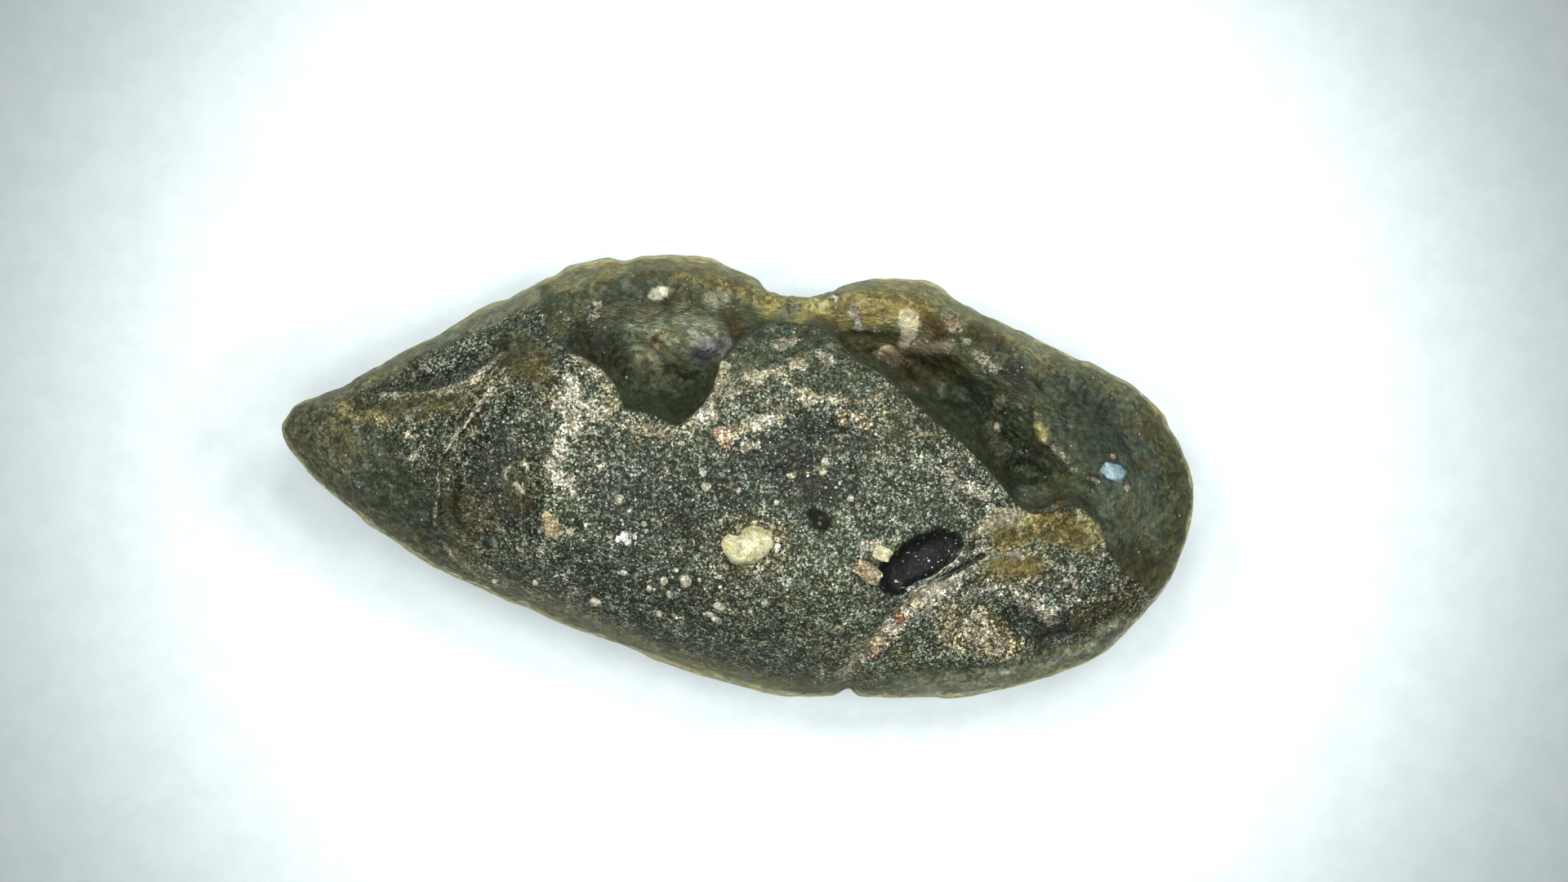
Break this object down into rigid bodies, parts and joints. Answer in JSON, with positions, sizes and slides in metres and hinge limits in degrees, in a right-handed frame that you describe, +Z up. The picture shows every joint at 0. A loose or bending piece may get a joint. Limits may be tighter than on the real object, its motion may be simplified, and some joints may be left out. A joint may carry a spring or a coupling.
{
  "type": "tektite",
  "caption": "Pitted lump of dark green natural glass, pointed at one end and round at the other, with broken-away hollows along one side.",
  "frame": {"origin": "middle of the box, on the plane of the flat spot that it rests on", "axes": "+X along the stone from its pointed end to its round end, +Y to the side with the two hollows, +Z up from the flat spot that it rests on to the crest"},
  "size_m": [0.02, 0.0096, 0.0071],
  "materials": {
    "tektite_glass": "etched dark olive-green natural glass, satin to frosted, micro-pitted, with pale clay in its pits",
    "lodged_grain": "matt cream to tan mineral grains lodged in the pits"
  },
  "bodies": {
    "root": {"tektite": "tektite_glass"}
  },
  "joints": []
}
